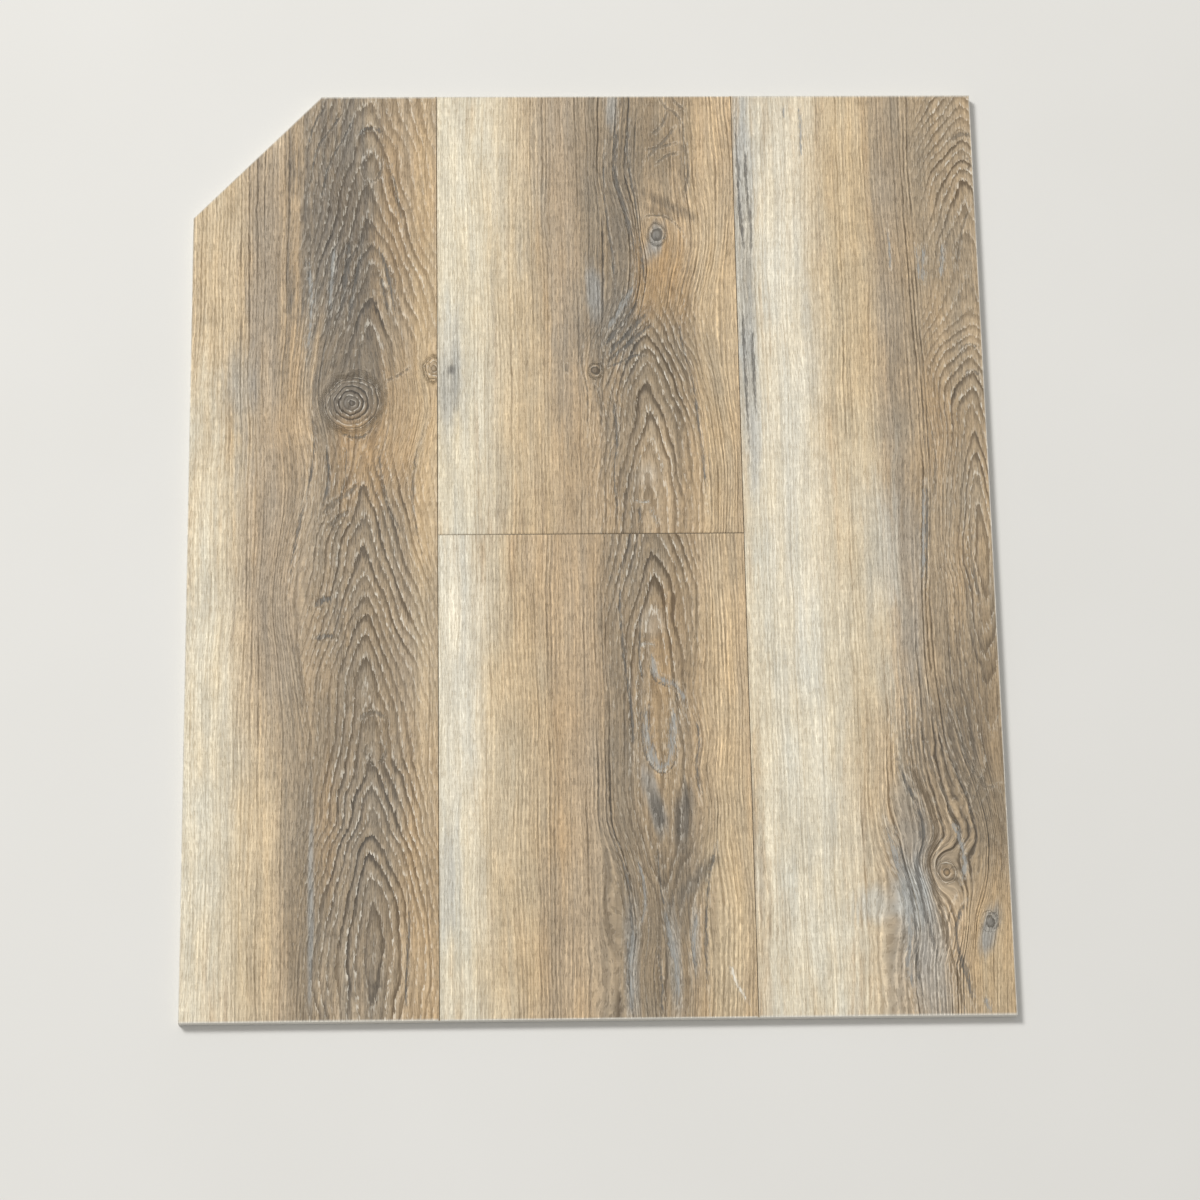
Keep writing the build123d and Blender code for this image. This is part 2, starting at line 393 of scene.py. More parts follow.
RIGHT_PRINT = OakPrint(
    ground=TAN, ring_near=6.6, figure_reach=29, seed=53,
    hearts=rows(
        Heart,
        (-10, 470, -2, 0), (60, 471, -1, 0), (110, 473, 3, 0.2), (150, 474, 5, 0.4), (180, 474, 4.6, 0.5),
        (215, 474, 3.2, 0.5, 1.3), (240, 474, 1.6, 0.6, 1.7), (254, 474, 0.9, 0.8, 2),
        (282, 474, 0.2, 0.8, 2), (305, 474, 0.8, 0.8, 2), (324, 474, 1.6, 0.8, 2), (339, 474, 2.4, 0.8, 2),
        (350, 474, 3.1, 0.8, 2), (369, 474, 4, 0.9, 1.7), (384, 474, 5, 0.9, 1.3), (412, 474, 8, 0.9),
        (439, 475, 11.5, 0.7), (450, 475, 12.4, 0.35), (490, 475, 14, 0.5), (523, 475, 16, 0.9),
        (544, 475, 18.6, 1), (564, 475, 21.2, 1), (580, 475, 23.2, 1), (600, 475, 25.8, 1),
    ),
    stains=rows(
        Stain,
        (CREAM, 362, 300, 28, 330), (CREAM, 368, 150, 38, 200, 0.9), (PALE_TAN, 398, 430, 20, 190, 0.8),
        (PALE_TAN, 402, 220, 12, 110, 0.6), (GREY_TAN, 426, 420, 9, 170, 0.8),
        (BROWN_GREY, 441, 490, 13, 130, 0.45), (BROWN_GREY, 438, 250, 20, 120, 0.35),
        (BROWN_GREY, 470, 330, 12, 130, 0.42), (BROWN_GREY, 466, 520, 16, 80, 0.4),
        (UMBER, 468, 175, 18, 60, 0.5), (SMOKE, 440, 130, 24, 60, 0.6), (GREY_TAN, 428, 36, 20, 74, 0.8),
        (HONEY, 454, 390, 8, 40, 0.5), (MIST, 338, 510, 7, 84, 0.85), (BLUE_GREY, 339, 515, 4, 70, 0.4),
        (MIST, 338, 395, 6, 64, 0.7), (BLUE_GREY, 339, 400, 3.4, 56, 0.5), (MIST, 412, 282, 9, 40, 0.5),
        (BLUE_GREY, 411, 283, 3, 16, 0.6), (BLUE_GREY, 428, 258, 8, 60, 0.35),
        (WARM_TAN, 410, 160, 6, 30, 0.6), (BROWN_GREY, 466, 112, 20, 34, 0.8), (MIST, 401, 66, 11, 10, 0.8),
        (MIST, 424, 70, 9, 16, 0.9), (BLUE_GREY, 426, 66, 12, 52, 0.4, -0.12),
        (BLUE_GREY, 434, 22, 12, 36, 0.25), (WARM_TAN, 470, 34, 17, 44), (PALE_TAN, 470, 28, 12, 34, 0.5),
        (CHALK, 362, 420, 18, 170, 0.3), (CHALK, 366, 150, 24, 130, 0.15), (CREAM, 404, 250, 16, 90, 0.4),
        (GREY_TAN, 398, 125, 18, 40, 0.18), (BLUE_GREY, 467, 50, 4.5, 12, 0.8, 0.25),
    ),
    knots=rows(
        Knot,
        (444, 85, 5.5, 7, 2, HONEY, 0.8), (468, 55, 5, 6, 1.2, SLATE, 0.6),
    ),
    strokes=(
        *strokes(
            SLATE,
            (2.6, (334, 586), (335, 540), (336, 500), (339, 470)),
            (2.6, (341, 560), (340, 530), (342, 495), (341, 468)),
            (2.2, (335, 448), (336, 400), (337, 334)), (2.4, (341, 436), (341, 400), (342, 362)),
            (2.2, (443.6, 330), (442, 298), (440, 250)),
            (4, (414, 195), (419, 150), (429, 124), (431, 104), (427, 88), (430, 65), (436, 35), (438, -4)),
            (3.2, (412, 116), (418, 98), (422, 78), (425, 52), (425, 25), (430, -4)),
            (3.6, (458, 74), (450, 58), (448, 44), (454, 19), (457, -4)),
            (1.8, (463, 58), (470, 60), (473, 54), (468, 48)),
        ),
        *strokes(
            BLUE_GREY,
            (3, (374, 580), (375, 560), (374, 535)), (2.2, (365, 580), (365, 566)),
            (3.8, (448, 486), (447, 468), (447, 454)), (1.8, (443, 486), (444, 470), (444, 456)),
            (3.8, (460, 488), (459, 472), (457, 458)), (1.8, (426, 500), (427, 480), (427, 462)),
            (3.4, (442, 335), (440, 300), (438, 255)),
            (5.2, (407, 122), (413, 100), (418, 80), (421, 55), (420, 30), (424, -4)),
            (3, (446, 122), (452, 106), (455, 90), (451, 74)), (4, (462, 12), (465, 4), (464, -4)),
        ),
        *strokes(
            SMOKE,
            (3.4, (467, 552), (474, 557), (483, 556)), (2.2, (474, 543), (480, 538), (476, 530)),
            (2.2, (481, 512), (474, 498), (470, 480), (467, 462)),
            (3.4, (466, 411), (472, 416), (481, 413)), (2.6, (468, 396), (474, 399), (481, 394)),
            (2.8, (470, 304), (468, 282), (470, 262), (473, 246)),
            (1.8, (447, 370), (449, 340), (446, 305)),
            (2.4, (428, 200), (437, 155), (447, 126), (450, 108)),
            (2.4, (436, 200), (446, 165), (456, 138), (462, 118)),
            (2.4, (444, 205), (452, 176), (462, 150), (470, 136), (481, 140)),
        ),
        *strokes(
            UMBER,
            (5.2, (422, 200), (427, 150), (437, 122), (439, 106), (434, 91), (438, 70), (443, 40),
             (446, -4)),
            (2.4, (450, 75), (443, 50), (448, 20), (451, -4)),
        ),
    ),
    bends=rows(
        Bend,
        (20, 2.2, ((440, -4), (441, 40), (437, 70), (433, 91), (439, 106), (437, 122), (431, 150),
         (430, 200))),
        (14, 1.8, ((420, -4), (418, 30), (420, 55), (418, 80), (413, 100), (409, 122), (410, 160))),
        (14, 1.7, ((446, 30), (458, 60), (466, 100), (462, 130), (452, 165), (446, 205))),
        (14, 1.2, ((438, 220), (440, 300), (442, 340), (441, 400), (439, 460))),
    ),
)


def smooth_step(low: float, high: float, value: Array) -> Array:
    """Rises smoothly from 0 to 1 as the value goes from low to high, where high may lie below low."""
    t = np.clip((value - low) / (high - low), 0, 1)
    return t * t * (3 - 2 * t)


def smooth_through(stations: Array, values: Array, at: Array) -> Array:
    """Smooth curve through given values, by cubic pieces.

    Args:
        stations: Rising places of the values.
        values: Values at those places.
        at: Places to read.

    Returns:
        The curve's values there.
    """
    slopes = np.gradient(values, stations)
    place = np.clip(at, stations[0], stations[-1])
    i = np.clip(np.searchsorted(stations, place) - 1, 0, len(stations) - 2)
    span = stations[i + 1] - stations[i]
    t = (place - stations[i]) / span
    start = values[i] * (1 + 2 * t) * (1 - t) ** 2 + slopes[i] * span * t * (1 - t) ** 2
    end = values[i + 1] * t ** 2 * (3 - 2 * t) + slopes[i + 1] * span * t ** 2 * (t - 1)
    return start + end


def drift(x: Array, y: Array, seed: int) -> Array:
    """Smooth chance variation between -1 and 1 that changes over about one unit.

    Args:
        x: First coordinate.
        y: Second coordinate.
        seed: Number that sets the variation.

    Returns:
        The variation at each place.
    """
    column, row = np.floor(x).astype(np.int64), np.floor(y).astype(np.int64)
    across, along = smooth_step(0, 1, x - column), smooth_step(0, 1, y - row)

    def corner(right: int, up: int) -> Array:
        """Chance value at a corner of each place's unit square, by scrambling its whole numbers.

        Args:
            right: 1 for a right-hand corner, else 0.
            up: 1 for an upper corner, else 0.

        Returns:
            The value, -1 to 1.
        """
        n = ((column + right) * 374761393 + (row + up) * 668265263 + seed * 974634721) & 0xFFFFFFFF
        n = ((n ^ (n >> 13)) * 1274126177) & 0xFFFFFFFF
        return ((n ^ (n >> 16)) & 0xFFFF) / 32767.5 - 1

    low = corner(0, 0) * (1 - across) + corner(1, 0) * across
    high = corner(0, 1) * (1 - across) + corner(1, 1) * across
    return low * (1 - along) + high * along


class GrainField:
    """Works out the print of one plank at given places of its face."""

    NEAR_PLACE = 6.5  # distance from the heart at which the rings have the print's spacing, mm
    HEART_GAP = 2.5  # keeps the spacing of the innermost rings within bounds, mm
    RING_FALL = 0.3  # power by which the rings close up away from the heart
    RING_FAR = 2.7  # ring spacing in the straight grain, mm
    POINT = 1.2  # rounding of the point of an arch, mm
    STEPS = np.linspace(0, 320, 641)  # distances from the heart at which the rings are counted, mm
    RUN_OUT = 25.0  # length over which a bend dies away past its ends, mm
    PIECES = 8  # straight pieces between two points of a drawn line

    def __init__(self, design: OakPrint, x: Array, y: Array) -> None:
        """Keeps the print and the places, and lays the fibres.

        Args:
            design: The print.
            x: Places across the panel, mm.
            y: Places along the panel, mm.
        """
        self.design, self.x, self.y = design, x, y
        self.fibre = self.fibre_places()

    def vary(self, across: float, along: float, step: int) -> Array:
        """Chance variation over a size in mm across and along the panel, with its own step of the seed."""
        return drift(self.x / across, self.y / along, self.design.seed + step)

    def vary_fibres(self, across: float, along: float, step: int) -> Array:
        """Chance variation like vary's, but drawn along the fibres."""
        return drift(self.fibre / across, self.y / along, self.design.seed + step)

    def heart_line(self) -> tuple[Array, Array, Array, Array]:
        """Reads the heart line at each point.

        Returns:
            Its place across the panel, the rings over it, the strength of its figure, and the closeness of
            the rings beside it.
        """
        y, x, crown, figure, closeness = np.array(
            [(h.y, h.x, h.crown, h.figure, h.closeness) for h in self.design.hearts], float
        ).T
        place, over, close = (smooth_through(y, values, self.y) for values in (x, crown, closeness))
        return place, over, np.interp(self.y, y, figure), close

    def knot_reach(self, knot: Knot) -> Array:
        """Distance from a knot's centre, 1 at the knot's edge and slightly uneven."""
        uneven = 0.1 * self.vary(0.5 * knot.across, 0.5 * knot.along, 4)
        return np.hypot((self.x - knot.x) / knot.across, (self.y - knot.y) / knot.along) + uneven

    def bend_at(self, bend: Bend) -> tuple[Array, Array]:
        """Reads a bent line at each point.

        Args:
            bend: The line.

        Returns:
            Its place across the panel, and the share of its bend that the fibre takes.
        """
        x, y = np.array(bend.points, float).T
        line = smooth_through(y, x, self.y)
        ends = smooth_step(y[0] - self.RUN_OUT, y[0], self.y)
        ends = ends * smooth_step(y[-1] + self.RUN_OUT, y[-1], self.y)
        return line, ends * np.exp(-(((self.x - line) / bend.reach) ** 2))

    def fibre_places(self) -> Array:
        """Lays the fibres, which part round the knots and follow the bends.

        Returns:
            For each point, the place across the board of its fibre, mm.
        """
        place = self.x + 1.5 * self.vary(28, 90, 0) + 0.8 * self.vary(9, 36, 1) + 0.3 * self.vary(4, 14, 15)
        for knot in self.design.knots:
            beside, beyond = self.x - knot.x, self.y - knot.y
            away = (beside / (1.7 * knot.across)) ** 2 + (beyond / (2.4 * knot.along)) ** 2
            place = place - beside * 0.85 * np.exp(-away)
        for bend in self.design.bends:
            line, near = self.bend_at(bend)
            place = place - (line - bend.points[-1][0]) * near
        return place

    def furrow(self) -> Array:
        """Finds the strength of the straight grain lines.

        Returns:
            The strength at each point, about 1 in common wood.
        """
        strength = 0.97 + 0.32 * self.vary(14, 60, 12)
        for bend in self.design.bends:
            strength = np.maximum(strength, bend.furrow * self.bend_at(bend)[1])
        return strength

    def rings(self) -> Array:
        """Counts the growth rings.

        Returns:
            The count at each point, whose whole numbers are the ring lines.
        """
        heart, crown, _, closeness = self.heart_line()
        wander = 1.6 * self.vary(60, 26, 13) + 0.8 * self.vary(60, 11, 14)
        beside = np.hypot(self.x - heart - wander, self.POINT) - self.POINT
        fall = ((self.NEAR_PLACE + self.HEART_GAP) / (self.STEPS + self.HEART_GAP)) ** self.RING_FALL
        spacing = np.maximum(self.RING_FAR, self.design.ring_near * fall)
        count = np.concatenate([[0], np.cumsum((self.STEPS[1] - self.STEPS[0]) / spacing[1:])])
        rings = closeness * np.interp(beside, self.STEPS, count) + crown
        rings = rings + 0.6 * self.vary(24, 80, 2) + 0.3 * self.vary(8, 24, 3)
        for knot in self.design.knots:
            reach = self.knot_reach(knot)
            inside = smooth_step(1.3, 0.95, reach)
            rings = rings * (1 - inside) + knot.rings * reach * inside
        return rings

    def figure(self) -> Array:
        """Finds the strength of the ring lines.

        Returns:
            The strength at each point, 0 to 1.
        """
        heart, _, figure, _ = self.heart_line()
        uneven = 1 + 0.25 * self.vary(9, 35, 10)
        strong = figure * uneven * np.exp(-(np.abs((self.x - heart) / self.design.figure_reach) ** 4))
        for knot in self.design.knots:
            strong = np.maximum(strong, 0.9 * smooth_step(1.35, 0.95, self.knot_reach(knot)))
        return np.clip(strong, 0, 1)

    def stain_cover(self, stain: Stain, ragged: Array) -> Array:
        """Finds how much a stain covers each point.

        Args:
            stain: The stain.
            ragged: How far its edge is moved at each point, as a share of its size.

        Returns:
            The cover, 0 to 1.
        """
        beside = np.abs(self.x - stain.x - stain.lean * (self.y - stain.y)) / stain.half_x
        beyond = np.abs(self.y - stain.y) / stain.half_y
        reach = (beside ** 2.5 + beyond ** 2.5) ** 0.4
        return stain.strength * smooth_step(1.65, 0.4, reach + ragged)

    def stroke_reach(self, stroke: Stroke) -> Array:
        """How near each point is to a drawn line: 1 on it, 0 at its full width to either side.

        Args:
            stroke: The line.

        Returns:
            The nearness, which also falls towards the line's ends.
        """
        points = np.array(stroke.points, float)
        stations = np.arange(len(points), dtype=float)
        at = np.linspace(0, len(points) - 1, self.PIECES * (len(points) - 1) + 1)
        line = np.stack([smooth_through(stations, points[:, i], at) for i in (0, 1)], 1)
        low, high = line.min(0) - stroke.width, line.max(0) + stroke.width
        inside = (self.x > low[0]) & (self.x < high[0]) & (self.y > low[1]) & (self.y < high[1])
        close = np.flatnonzero(inside)
        px, py = self.x[close], self.y[close]
        least, along = np.full(len(close), np.inf), np.zeros(len(close))
        for i, ((ax, ay), (bx, by)) in enumerate(zip(line[:-1], line[1:])):
            run = (bx - ax) ** 2 + (by - ay) ** 2
            t = np.clip(((px - ax) * (bx - ax) + (py - ay) * (by - ay)) / run, 0, 1)
            away = np.hypot(px - ax - t * (bx - ax), py - ay - t * (by - ay))
            along = np.where(away < least, (i + t) / (len(line) - 1), along)
            least = np.minimum(least, away)
        taper = smooth_step(-0.1, 0.25, along) * smooth_step(1.1, 0.75, along)
        uneven = 0.16 * drift(px / 3, py / 14, self.design.seed + 8)
        reach = np.zeros_like(self.x)
        reach[close] = np.clip(taper * (1 + uneven - least / stroke.width), 0, 1)
        return reach

    def drawn(self) -> tuple[Array, Array]:
        """Finds the nearest drawn line.

        Returns:
            Its linear colour at each point, and how near it is, 1 on the line.
        """
        colour = np.tile(ink(SLATE), (len(self.x), 1))
        nearness = np.zeros_like(self.x)
        for stroke in self.design.strokes:
            reach = self.stroke_reach(stroke)
            colour[reach > nearness] = ink(stroke.colour)
            nearness = np.maximum(nearness, reach)
        return colour, nearness

    def colours(self) -> tuple[Array, Array]:
        """Works out the colours of the wood and of its ring lines.

        Returns:
            The wood's linear colour at each point, and that of a ring line there.
        """
        wood = np.tile(ink(self.design.ground), (len(self.x), 1))
        ragged = 0.26 * self.vary_fibres(4.0, 70, 5) + 0.24 * self.vary_fibres(1.5, 30, 6)
        ragged = ragged + 0.16 * self.vary_fibres(1.2, 7, 7)
        for stain in self.design.stains:
            cover = self.stain_cover(stain, ragged)[:, None]
            wood = wood * (1 - cover) + ink(stain.colour) * cover
        shade = 1 + 0.06 * self.vary_fibres(7, 110, 6) + 0.07 * self.vary_fibres(2.2, 50, 7)
        shade = shade + 0.06 * self.vary(11, 15, 18) + 0.05 * self.vary(4, 7, 19)
        warmth = 0.6 * self.vary_fibres(5, 40, 16) + 0.4 * self.vary(16, 26, 17)
        wood = wood * shade[:, None] * (1 + warmth[:, None] * np.array([0.05, 0, -0.08]))

        # Lines are a deeper brown of the wood beside them, paler in the creams and smoky in the dark wood
        pale = smooth_step(0.3, 0.65, wood[:, 1])[:, None]
        dim = smooth_step(0.42, 0.2, wood[:, 1])
        smoky = (dim * smooth_step(-0.5, 0.6, self.vary(22, 60, 9)))[:, None]
        line = (0.3 + 0.36 * pale) * wood * np.array([1.1, 1, 0.86])
        line = line * (1 - 0.55 * smoky) + 0.3 * ink(SLATE) * smoky
        for knot in self.design.knots:
            reach = self.knot_reach(knot)[:, None]
            line = line * (1 - 0.4 * smooth_step(1.3, 0.7, reach))
            cover = knot.strength * smooth_step(1.0, 0.1, reach)
            wood = wood * (1 - cover) + ink(knot.colour) * cover
        return wood, line


MATH, RANGE, MIX, NOISE = "ShaderNodeMath", "ShaderNodeMapRange", "ShaderNodeMix", "ShaderNodeTexNoise"
VECTOR_MATH, ATTRIBUTE, CHANCE = "ShaderNodeVectorMath", "ShaderNodeAttribute", "ShaderNodeTexWhiteNoise"
BUMP, ONE_WAY = "ShaderNodeBump", {"noise_dimensions": "1D"}
TIMES, PLUS, LESS = {"operation": "MULTIPLY"}, {"operation": "ADD"}, {"operation": "SUBTRACT"}
TIMES_PLUS, LARGER = {"operation": "MULTIPLY_ADD"}, {"operation": "MAXIMUM"}
WHOLE, PART = {"operation": "FLOOR"}, {"operation": "FRACT"}
SMOOTH, IN_COLOUR = {"interpolation_type": "SMOOTHSTEP"}, {"data_type": "RGBA"}


def fill_inputs(tree: bpy.types.NodeTree, node: bpy.types.Node, values: dict[str | int, Any]) -> None:
    """Sets or links inputs of a node.

    Args:
        tree: The node's tree.
        node: The node.
        values: Values, or sockets to link, by the input's name or number.
    """
    for name, value in values.items():
        if isinstance(value, bpy.types.NodeSocket):
            tree.links.new(value, node.inputs[name])
        else:
            node.inputs[name].default_value = value


def add_node(
    tree: bpy.types.NodeTree,
    kind: str,
    settings: dict[str, Any] | None = None,
    inputs: dict[str | int, Any] | tuple[Any, ...] = (),
    output: str | int = 0,
) -> bpy.types.NodeSocket:
    """Adds a node with its settings, values and links.

    Args:
        tree: Node tree to add to.
        kind: Type of the node.
        settings: Properties of the node.
        inputs: Values, or sockets to link, in order or by the input's name or number.
        output: Name or number of the output that is wanted.

    Returns:
        That output of the new node.
    """
    node = tree.nodes.new(kind)
    for name, value in (settings or {}).items():
        setattr(node, name, value)
    fill_inputs(tree, node, inputs if isinstance(inputs, dict) else dict(enumerate(inputs)))
    return node.outputs[output]


def new_material(name: str) -> tuple[bpy.types.Material, bpy.types.NodeTree, bpy.types.Node]:
    """Makes an empty node material.

    Args:
        name: Name of the material.

    Returns:
        The material, its node tree and its Principled shader.
    """
    material = bpy.data.materials.new(name)
    material.use_nodes = True
    tree = material.node_tree
    return material, tree, tree.nodes["Principled BSDF"]


@dataclass(frozen=True)
class EmbossedOakVinyl:
    """Vinyl wear layer over an oak print, embossed in register with the grain.

    The wear layer gives a satin, slightly waxy face; the pressed pores and ring lines break its shine.
    """

    ior: float = 1.53
    roughness: float = 0.5
    feather: Point = (1.3, 8.0)  # teeth of the ring lines, mm across and along the fibres
    fine: Point = (0.7, 5.0)  # breaks of the drawn lines, mm
    pore: Point = (0.65, 6.0)  # short dark pores, mm
    glint: Point = (1.1, 5.0)  # painted highlights: pale ticks on the rings and pale glint flecks in the wood, mm
    streak: Point = (2.0, 70.0)  # long streaks of lighter and darker wood, mm
    thread: Point = (1.7, 42.0)  # fading of the straight lines along their length, mm
    chatter: Point = (9.0, 1.3)  # faint cutter marks across the grain, mm
    line_pitch: float = 2.3  # straight grain lines, mm
    emboss_depth: float = 0.3  # mm, deeper than the press leaves so that it shows at this size

    def material(self) -> bpy.types.Material:
        """Builds the material.

        Returns:
            The finished material.
        """
        material, tree, shader = new_material("vinyl_wear_layer_embossed_oak")
        node = partial(add_node, tree)
        grain = node(ATTRIBUTE, {"attribute_name": "grain"}, output="Vector")
        wood = node(ATTRIBUTE, {"attribute_name": "wood"}, output="Color")
        line = node(ATTRIBUTE, {"attribute_name": "ring_line"}, output="Color")
        drawn = node(ATTRIBUTE, {"attribute_name": "drawn"}, output="Color")
        furrow, figure, nearness = (socket.node.outputs["Alpha"] for socket in (wood, line, drawn))
        fibre = node("ShaderNodeSeparateXYZ", None, (grain,), "X")
        ring = fibre.node.outputs["Z"]
        noises = []
        for across, along in (
            self.feather, self.fine, self.pore, self.glint, self.streak, self.thread, self.chatter
        ):
            spread = node(VECTOR_MATH, TIMES, (grain, (1 / across, 1 / along, 0)))
            values = {"Vector": spread, "Scale": 1.0, "Detail": 2.0, "Roughness": 0.55}
            noises.append(node(NOISE, {"noise_dimensions": "2D"}, values, "Fac"))
        feather, fine, pores, glint_noise, streak, thread, chatter = noises

        # Straight grain: each line has its own strength, fades along its length and gives way to the rings
        jitter = node(MATH, TIMES_PLUS, (feather, 0.5, node(MATH, TIMES, (fine, 0.3))))
        place = node(MATH, TIMES_PLUS, (fibre, 1 / self.line_pitch, jitter))
        wave = node(MATH, {"operation": "PINGPONG"}, (place, 0.5))
        number = node(MATH, WHOLE, (place,))
        chance = node(CHANCE, ONE_WAY, {"W": number}, "Value")
        rare = node(MATH, TIMES, (chance, chance))
        depth = node(MATH, TIMES_PLUS, (rare, 0.95, 0.14))
        fading = node(RANGE, SMOOTH, (thread, 0.3, 0.6, 0.15, 1.0))
        plainness = node(RANGE, SMOOTH, (figure, 0.0, 0.8, 1.0, 0.25))
        strength = node(MATH, TIMES, (furrow, node(MATH, TIMES, (fading, plainness))))
        groove = node(RANGE, SMOOTH, (wave, 0.2, 0.46))
        groove = node(MATH, TIMES, (groove, depth))
        plain = node(MATH, TIMES, (groove, strength))
        # The ridge beside each groove carries a painted highlight below
        ridge = node(RANGE, SMOOTH, (wave, 0.2, 0.02))
        ridge = node(MATH, TIMES, (ridge, strength))

        # Long streaks, a painted highlight on the ridges of the straight grain, short pale flecks painted as
        # glints of the embossing, and faint cutter marks
        shade = node(RANGE, SMOOTH, (streak, 0.3, 0.7, 0.88, 1.1))
        ridge_highlight = node(MATH, TIMES_PLUS, (ridge, 0.34, 0.96))
        marks = node(RANGE, SMOOTH, (chatter, 0.3, 0.7, 0.97, 1.03))
        glint_flecks = node(RANGE, SMOOTH, (glint_noise, 0.52, 0.66, 0.97, 1.13))
        marks = node(MATH, TIMES, (marks, glint_flecks))
        shade = node(MATH, TIMES, (shade, node(MATH, TIMES, (ridge_highlight, marks))))
        colour = node(VECTOR_MATH, {"operation": "SCALE"}, {0: wood, "Scale": shade})
        colour = node(MIX, IN_COLOUR, {0: plain, 6: colour, 7: line}, 2)

        # Ring lines darken inwards of a sharp outer edge with teeth along the fibres
        toothed = node(MATH, TIMES_PLUS, (feather, 0.55, ring))
        phase = node(MATH, PART, (toothed,))
        number = node(MATH, WHOLE, (toothed,))
        chance = node(CHANCE, ONE_WAY, {"W": number}, "Value")
        depth = node(MATH, TIMES_PLUS, (chance, 0.7, 0.42))
        depth = node(MATH, TIMES, (depth, figure))
        dark = node(RANGE, SMOOTH, (phase, 0.46, 0.88))
        rings = node(MATH, TIMES, (dark, depth))
        colour = node(MIX, IN_COLOUR, {0: rings, 6: colour, 7: line}, 2)

        # Drawn lines have teeth and gaps
        toothed = node(MATH, TIMES_PLUS, (fine, 0.9, nearness))
        dark = node(RANGE, SMOOTH, (toothed, 1.03, 1.31))
        gaps = node(RANGE, SMOOTH, (feather, 0.3, 0.6, 0.45, 0.9))
        marked = node(MATH, TIMES, (dark, gaps))
        colour = node(MIX, IN_COLOUR, {0: marked, 6: colour, 7: drawn}, 2)

        # Short dark pores lie everywhere
        pored = node(RANGE, SMOOTH, (pores, 0.55, 0.68, 0.0, 0.46))
        colour = node(MIX, IN_COLOUR, {0: pored, 6: colour, 7: line}, 2)

        # Painted highlights: pale ticks for the glints of the embossing stand on the sharp edges of the rings
        # and beside the drawn lines
        edge = node(RANGE, SMOOTH, (phase, 0.34, 0.06))
        edge = node(MATH, TIMES, (edge, depth))
        near = node(RANGE, SMOOTH, (toothed, 0.65, 0.87, 0.0, 0.4))
        clear = node(RANGE, SMOOTH, (toothed, 1.07, 0.93))
        edge = node(MATH, LARGER, (edge, node(MATH, TIMES, (near, clear))))
        glint = node(RANGE, SMOOTH, (glint_noise, 0.45, 0.61, 0.0, 0.63))
        glint = node(MATH, TIMES, (glint, edge))
        colour = node(MIX, IN_COLOUR, {0: glint, 6: colour, 7: linear(CHALK.value)}, 2)

        # All the marks are pressed in, and dull where they are
        pressed = node(MATH, PLUS, (rings, plain))
        pressed = node(MATH, PLUS, (pressed, node(MATH, PLUS, (pored, marked))))
        relief = node(MATH, LESS, (node(MATH, TIMES, (fine, 0.4)), pressed))
        bump = node(BUMP, None, {"Strength": 0.8, "Distance": self.emboss_depth * MM, "Height": relief})
        dulled = node(MATH, TIMES_PLUS, (pressed, 0.15, self.roughness))
        values = {"Base Color": colour, "Normal": bump, "Roughness": dulled, "IOR": self.ior}
        fill_inputs(tree, shader, values)
        return material


@dataclass(frozen=True)
class MottledFinish:
    """A plain finish of two near shades in soft patches, smooth or with a fine relief."""

    name: str  # name of the material
    colour: str  # main shade
    second: str  # shade of the patches
    patches: Place  # patches to the metre, across, along and up
    detail: float  # fineness of the patches
    ior: float  # index of refraction
    roughness: float  # roughness of the surface
    relief: float = 0.0  # height of the relief, mm; 0 where the finish is smooth
    relief_strength: float = 0.0  # how much of the relief shows, 0 to 1
    pebble: float = 0.0  # size of the pebbles of the relief, mm; 0 where the relief follows the patches

    def material(self) -> bpy.types.Material:
        """Builds the material.

        Returns:
            The finished material.
        """
        material, tree, shader = new_material(self.name)
        node = partial(add_node, tree)
        place = node("ShaderNodeTexCoord", output="Object")
        spread = node(VECTOR_MATH, TIMES, (place, self.patches))
        height = cloud = node(NOISE, None, {"Vector": spread, "Scale": 1.0, "Detail": self.detail}, "Fac")
        colour = node(MIX, IN_COLOUR, {0: cloud, 6: linear(self.colour), 7: linear(self.second)}, 2)
        fill_inputs(tree, shader, {"Base Color": colour, "Roughness": self.roughness, "IOR": self.ior})
        if self.pebble:
            values = {"Vector": place, "Scale": 1 / (self.pebble * MM)}
            height = node("ShaderNodeTexVoronoi", {"feature": "SMOOTH_F1"}, values, "Distance")
        if self.relief:
            values = {"Strength": self.relief_strength, "Distance": self.relief * MM, "Height": height}
            fill_inputs(tree, shader, {"Normal": node(BUMP, None, values)})
        return material


@dataclass(frozen=True)
class FilledVinylCore(MottledFinish):
    """Limestone-filled vinyl core, sawn or milled: a chalky pale grey edge with fine saw lines."""

    name: str = "filled_vinyl_core_sawn"
    colour: str = "#E4E1D9"
    second: str = "#D2CDC2"
    patches: Place = (1250.0, 1250.0, 250.0)  # coarser than a real saw leaves so that they show
    detail: float = 3.0
    ior: float = 1.54
    roughness: float = 0.72
    relief: float = 0.05
    relief_strength: float = 0.4


@dataclass(frozen=True)
class CalenderedBacking(MottledFinish):
    """Calendered vinyl backing: the flat grey underside, with the fine pebble of the press belt."""

    name: str = "vinyl_backing_calendered"
    colour: str = "#A9A7A1"
    second: str = "#97958F"
    patches: Place = (40.0, 40.0, 40.0)
    detail: float = 3.0
    ior: float = 1.53
    roughness: float = 0.62
    relief: float = 0.08
    relief_strength: float = 0.35
    pebble: float = 1.6


@dataclass(frozen=True)
class PaintedBevel(MottledFinish):
    """Brown paint on the eased edge of the face: the dark hairline of a joint."""

    name: str = "painted_bevel_brown"
    colour: str = "#6B5B47"
    second: str = UMBER.value
    patches: Place = (120.0, 120.0, 120.0)
    detail: float = 2.0
    ior: float = 1.5
    roughness: float = 0.6


